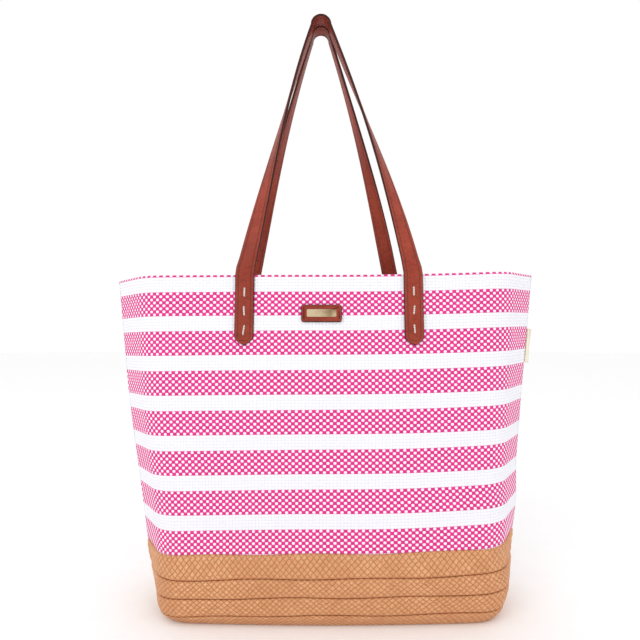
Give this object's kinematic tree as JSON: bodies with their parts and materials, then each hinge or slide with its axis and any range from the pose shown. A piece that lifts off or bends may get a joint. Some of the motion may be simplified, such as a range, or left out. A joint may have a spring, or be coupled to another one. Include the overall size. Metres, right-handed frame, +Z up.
{
  "type": "beach bag",
  "caption": "Open-topped woven straw beach tote with pink and white stripes, a natural braided foot and long leather shoulder straps.",
  "frame": {"origin": "on the floor under the middle of the base", "axes": "+Z up, the front with its badge faces -Y, +X is the wearer's view right when looking at the front"},
  "size_m": [0.5126, 0.1544, 0.7065],
  "materials": {
    "woven_straw": "matte plain-woven paper straw, hot pink and white",
    "straw_braid": "matte natural straw braid",
    "tan_leather": "semi-matte fine grain, reddish brown",
    "leather_backing": "matte, darker reddish brown",
    "white_thread": "matte twisted thread",
    "badge_metal": "brushed antique pale gold",
    "snap_metal": "satin pale gold plating",
    "lining_cloth": "matte cream plain cotton",
    "stiff_board": "matte stiffener board",
    "backing_pad": "matte felted pad",
    "zip_tape": "matte woven tape",
    "zip_coil": "satin nylon coil",
    "zip_metal": "satin pale gold plating",
    "label_cloth": "matte folded woven label, plain"
  },
  "bodies": {
    "bag": {"front_panel": "woven_straw", "rear_panel": "woven_straw", "lining_front": "lining_cloth", "lining_rear": "lining_cloth", "lining_floor": "lining_cloth", "braid_row_1": "straw_braid", "braid_row_2": "straw_braid", "braid_row_3": "straw_braid", "braid_row_4": "straw_braid", "base_braid_outer": "straw_braid", "base_braid_middle": "straw_braid", "base_braid_centre": "straw_braid", "base_board": "stiff_board", "badge_patch": "tan_leather", "badge_plate": "badge_metal", "badge_prongs": "badge_metal", "snap_socket": "snap_metal", "snap_stud": "snap_metal", "snap_washer_front": "snap_metal", "snap_washer_rear": "snap_metal", "slip_pocket": "lining_cloth", "zip_pouch": "lining_cloth", "zip_tape_upper": "zip_tape", "zip_tape_lower": "zip_tape", "zip_coil_upper": "zip_coil", "zip_coil_lower": "zip_coil", "zip_stops": "zip_metal", "zip_welt": "tan_leather", "front_strap_end_left": "tan_leather", "front_backer_left": "backing_pad", "front_stitches_left": "white_thread", "front_strap_end_right": "tan_leather", "front_backer_right": "backing_pad", "front_stitches_right": "white_thread", "rear_strap_end_left": "tan_leather", "rear_backer_left": "backing_pad", "rear_stitches_left": "white_thread", "rear_strap_end_right": "tan_leather", "rear_backer_right": "backing_pad", "rear_stitches_right": "white_thread"},
    "front_handle": {"front_strap_face": "tan_leather", "front_strap_backing": "leather_backing"},
    "rear_handle": {"rear_strap_face": "tan_leather", "rear_strap_backing": "leather_backing"},
    "zip_slider": {"zip_slider": "zip_metal"},
    "zip_pull": {"zip_pull": "zip_metal"},
    "side_label": {"side_label": "label_cloth"}
  },
  "joints": [
    {"name": "front_handle_swing", "type": "hinge", "parent": "bag", "child": "front_handle", "pos_m": [0, -0.0614, 0.393], "axis": [1, 0, 0], "range_deg": [0, 180]},
    {"name": "rear_handle_swing", "type": "hinge", "parent": "bag", "child": "rear_handle", "pos_m": [0, 0.0614, 0.393], "axis": [-1, 0, 0], "range_deg": [0, 180]},
    {"name": "zip_slide", "type": "slide", "parent": "bag", "child": "zip_slider", "axis": [1, 0, 0], "range_m": [0, 0.16]},
    {"name": "zip_pull_swing", "type": "hinge", "parent": "zip_slider", "child": "zip_pull", "pos_m": [-0.08, 0.05498, 0.3], "axis": [0, 0, -1], "range_deg": [0, 180]},
    {"name": "label_flap", "type": "hinge", "parent": "bag", "child": "side_label", "pos_m": [0.24686, 0, 0.31], "axis": [0.0889, 0, 0.996], "range_deg": [-130, 45]}
  ]
}
